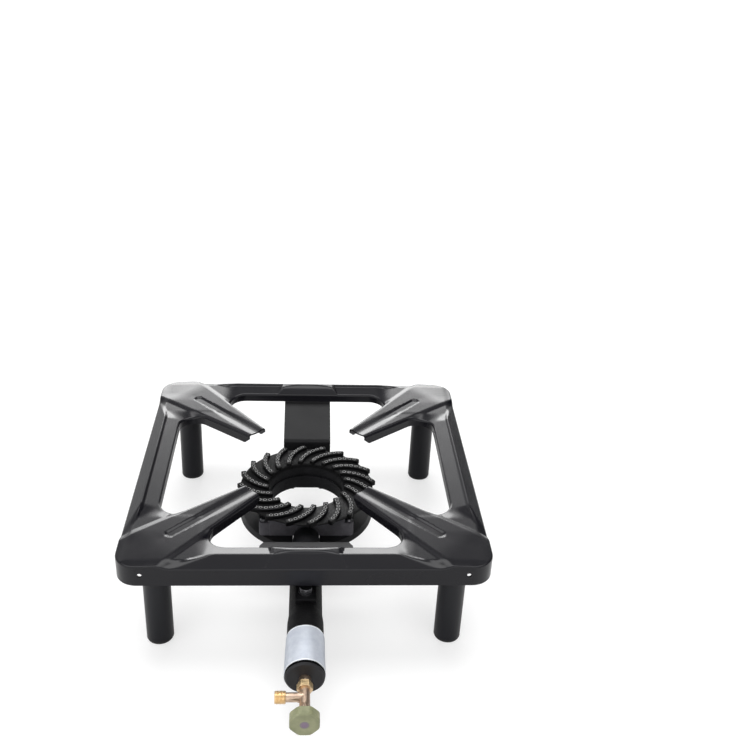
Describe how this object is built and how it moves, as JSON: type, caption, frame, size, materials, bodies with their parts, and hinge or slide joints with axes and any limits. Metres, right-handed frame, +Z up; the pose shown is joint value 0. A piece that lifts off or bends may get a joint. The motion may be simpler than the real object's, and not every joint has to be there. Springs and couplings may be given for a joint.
{
  "type": "gas stool burner",
  "caption": "Low square pressed-steel gas stove stand on tube legs, with a swirl ring burner on a long mixing tube, an air shutter and a brass needle valve with a knob.",
  "frame": {"origin": "on the floor, under the burner's vertical axis and midway between the four feet", "axes": "+Z up; -Y towards the valve and knob at the front; +X to the right seen from the front"},
  "size_m": [0.4, 0.5455, 0.1376],
  "materials": {
    "stand_enamel": "glossy black enamel",
    "leg_enamel": "glossy black enamel",
    "strap_enamel": "semi-gloss black enamel",
    "tray_enamel": "semi-gloss black enamel",
    "burner_iron": "black heat paint on cast iron",
    "socket_steel": "black enamel",
    "cap_rubber": "moulded rubber",
    "zinc_steel": "zinc plated",
    "label_foil": "satin foil",
    "shutter_enamel": "semi-gloss black enamel",
    "brass": "turned brass",
    "packing_rubber": "nitrile rubber",
    "knob_plastic": "olive moulded plastic",
    "knob_pin": "grey plastic cap"
  },
  "bodies": {
    "stand": {"stand_frame": "stand_enamel", "back_strap": "strap_enamel", "front_bracket": "strap_enamel", "tube_hanger": "strap_enamel", "burner_body": "burner_iron", "burner_head": "burner_iron", "burner_tray": "tray_enamel", "lug_screws": "zinc_steel", "lug_nuts": "zinc_steel", "strap_bolts": "zinc_steel", "strap_spacers": "zinc_steel", "tube_bolt": "zinc_steel", "tube_bolt_washer": "zinc_steel", "label_sleeve": "label_foil", "jet_holder": "brass", "gas_jet": "brass", "valve_body": "brass", "inlet_nipple": "brass", "stem_packing": "packing_rubber", "gland_nut": "brass", "leg_front_left": "leg_enamel", "leg_cap_front_left": "cap_rubber", "leg_socket_front_left": "socket_steel", "leg_front_right": "leg_enamel", "leg_cap_front_right": "cap_rubber", "leg_socket_front_right": "socket_steel", "leg_back_left": "leg_enamel", "leg_cap_back_left": "cap_rubber", "leg_socket_back_left": "socket_steel", "leg_back_right": "leg_enamel", "leg_cap_back_right": "cap_rubber", "leg_socket_back_right": "socket_steel"},
    "shutter": {"air_shutter": "shutter_enamel"},
    "stem": {"valve_stem": "brass"},
    "knob": {"knob": "knob_plastic", "knob_screw": "knob_pin"}
  },
  "joints": [
    {"name": "air_shutter_slide", "type": "slide", "parent": "stand", "child": "shutter", "axis": [0, -1, 0], "range_m": [-0.0008, 0.006]},
    {"name": "stem_lift", "type": "slide", "parent": "stand", "child": "stem", "axis": [0, -1, 0], "range_m": [0, 0.0015]},
    {"name": "knob_turn", "type": "hinge", "parent": "stem", "child": "knob", "pos_m": [0, -0.34, 0.062], "axis": [0, -1, 0], "range_deg": [0, 540]}
  ],
  "couplings": [
    {"joint": "stem_lift", "follows": "knob_turn", "m_per_rad": 0.000159}
  ]
}
